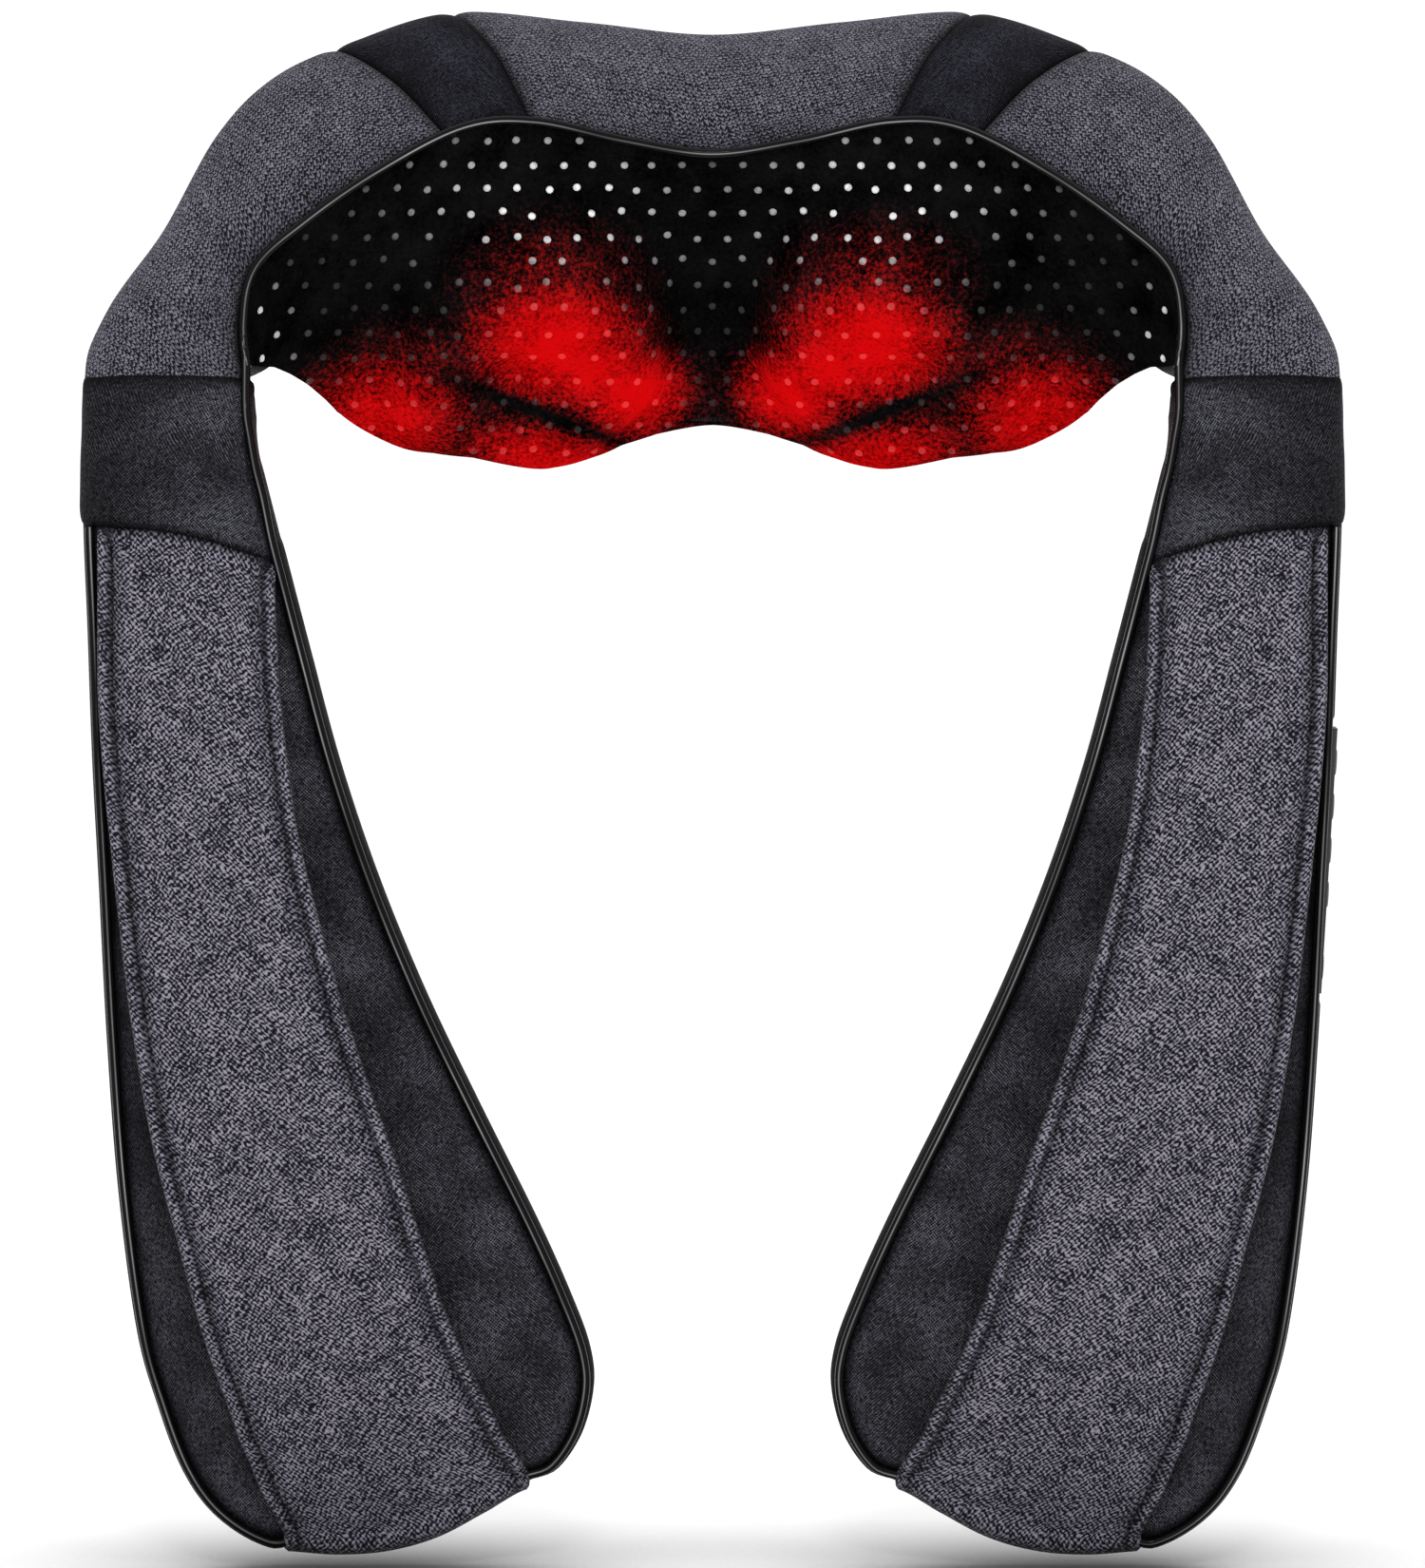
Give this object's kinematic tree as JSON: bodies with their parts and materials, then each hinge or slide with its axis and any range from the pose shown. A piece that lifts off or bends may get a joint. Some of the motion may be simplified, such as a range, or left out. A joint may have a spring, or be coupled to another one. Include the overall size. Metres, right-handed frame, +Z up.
{
  "type": "shiatsu neck massager",
  "caption": "Padded U-shaped neck massager with motor-driven kneading nodes behind a mesh cover, and a strap with a hand loop on each side.",
  "frame": {"origin": "between the kneading nodes, where the nape rests against them", "axes": "+Z up as worn, +Y back from the neck to the back of the collar, +X across to the right as seen from the front"},
  "size_m": [0.4022, 0.1824, 0.4946],
  "materials": {
    "grey_fabric": "charcoal and light grey woven cover cloth",
    "black_leather": "black coated cover cloth with a fine cross-hatch grain",
    "black_mesh": "black stretch mesh with small raised dots",
    "piping": "glossy black piping",
    "foam": "soft padding foam",
    "black_plastic": "moulded black plastic",
    "grey_plastic": "moulded light grey plastic",
    "steel": "plain steel",
    "bronze": "sintered bronze",
    "gear_plastic": "moulded natural gear plastic",
    "red_plastic": "translucent red moulded nodes, lit from below",
    "board": "green circuit board with its parts",
    "wire": "insulated leads",
    "button": "soft dark grey button"
  },
  "bodies": {
    "collar": {"collar_cover": "grey_fabric", "left_collar_strip": "black_leather", "right_collar_strip": "black_leather", "left_shoulder_cover": "grey_fabric", "right_shoulder_cover": "grey_fabric", "left_shoulder_patch": "black_leather", "right_shoulder_patch": "black_leather", "massage_cover": "black_mesh", "collar_piping": "piping", "collar_foam": "foam", "shoulder_foams": "foam", "back_shell": "black_plastic", "drive_frame": "black_plastic", "wiring_harness": "wire", "gearbox_screws": "steel", "left_gearbox_housing": "grey_plastic", "left_gearbox_cover": "grey_plastic", "left_motor": "steel", "left_output_bushes": "bronze", "left_lamp_board": "board", "right_gearbox_housing": "grey_plastic", "right_gearbox_cover": "grey_plastic", "right_motor": "steel", "right_output_bushes": "bronze", "right_lamp_board": "board"},
    "left_kneader": {"left_worm_wheel": "gear_plastic", "left_output_shaft": "steel", "left_node_plate": "black_plastic", "left_tall_nodes": "red_plastic", "left_short_nodes": "red_plastic"},
    "left_rotor": {"left_worm": "gear_plastic", "left_motor_shaft": "steel"},
    "left_strap": {"left_strap_cuff": "black_leather", "left_strap_foam": "foam", "left_strap_front": "black_leather", "left_strap_back": "black_leather", "left_strap_piping": "piping", "left_hand_loop": "grey_fabric"},
    "right_kneader": {"right_worm_wheel": "gear_plastic", "right_output_shaft": "steel", "right_node_plate": "black_plastic", "right_tall_nodes": "red_plastic", "right_short_nodes": "red_plastic"},
    "right_rotor": {"right_worm": "gear_plastic", "right_motor_shaft": "steel"},
    "right_strap": {"right_strap_cuff": "black_leather", "right_strap_foam": "foam", "right_strap_front": "black_leather", "right_strap_back": "black_leather", "right_strap_piping": "piping", "right_hand_loop": "grey_fabric", "control_panel": "black_plastic", "control_board": "board", "power_inlet": "black_plastic", "strap_cable": "wire"},
    "power_button": {"power_button": "button"},
    "heat_button": {"heat_button": "button"},
    "direction_button": {"direction_button": "button"},
    "speed_button": {"speed_button": "button"}
  },
  "joints": [
    {"name": "left_strap_flex", "type": "hinge", "parent": "collar", "child": "left_strap", "pos_m": [-0.168, -0.051, -0.046], "axis": [1, 0, 0], "range_deg": [-30, 20], "stiffness_Nm_per_rad": 0.3},
    {"name": "left_kneader_spin", "type": "hinge", "parent": "collar", "child": "left_kneader", "pos_m": [-0.064, 0.032, -0.006], "axis": [0.2172, -0.7575, -0.6157], "continuous": true},
    {"name": "left_rotor_spin", "type": "hinge", "parent": "collar", "child": "left_rotor", "pos_m": [-0.06346, 0.03012, 0.02737], "axis": [-0.9613, -0.2756, 0], "continuous": true},
    {"name": "right_strap_flex", "type": "hinge", "parent": "collar", "child": "right_strap", "pos_m": [0.168, -0.051, -0.046], "axis": [1, 0, 0], "range_deg": [-30, 20], "stiffness_Nm_per_rad": 0.3},
    {"name": "right_kneader_spin", "type": "hinge", "parent": "collar", "child": "right_kneader", "pos_m": [0.064, 0.032, -0.006], "axis": [-0.2172, -0.7575, -0.6157], "continuous": true},
    {"name": "right_rotor_spin", "type": "hinge", "parent": "collar", "child": "right_rotor", "pos_m": [0.06346, 0.03012, 0.02737], "axis": [0.9613, -0.2756, 0], "continuous": true},
    {"name": "power_button_press", "type": "slide", "parent": "right_strap", "child": "power_button", "axis": [-0.9983, 0, 0.0576], "range_m": [0, 0.0008], "stiffness_N_per_m": 1500, "springref_m": -0.0005},
    {"name": "heat_button_press", "type": "slide", "parent": "right_strap", "child": "heat_button", "axis": [-0.9983, 0, 0.0576], "range_m": [0, 0.0008], "stiffness_N_per_m": 1500, "springref_m": -0.0005},
    {"name": "direction_button_press", "type": "slide", "parent": "right_strap", "child": "direction_button", "axis": [-0.9983, 0, 0.0576], "range_m": [0, 0.0008], "stiffness_N_per_m": 1500, "springref_m": -0.0005},
    {"name": "speed_button_press", "type": "slide", "parent": "right_strap", "child": "speed_button", "axis": [-0.9983, 0, 0.0576], "range_m": [0, 0.0008], "stiffness_N_per_m": 1500, "springref_m": -0.0005}
  ],
  "couplings": [
    {"joint": "left_rotor_spin", "follows": "left_kneader_spin", "ratio": 44},
    {"joint": "right_rotor_spin", "follows": "right_kneader_spin", "ratio": 44}
  ]
}
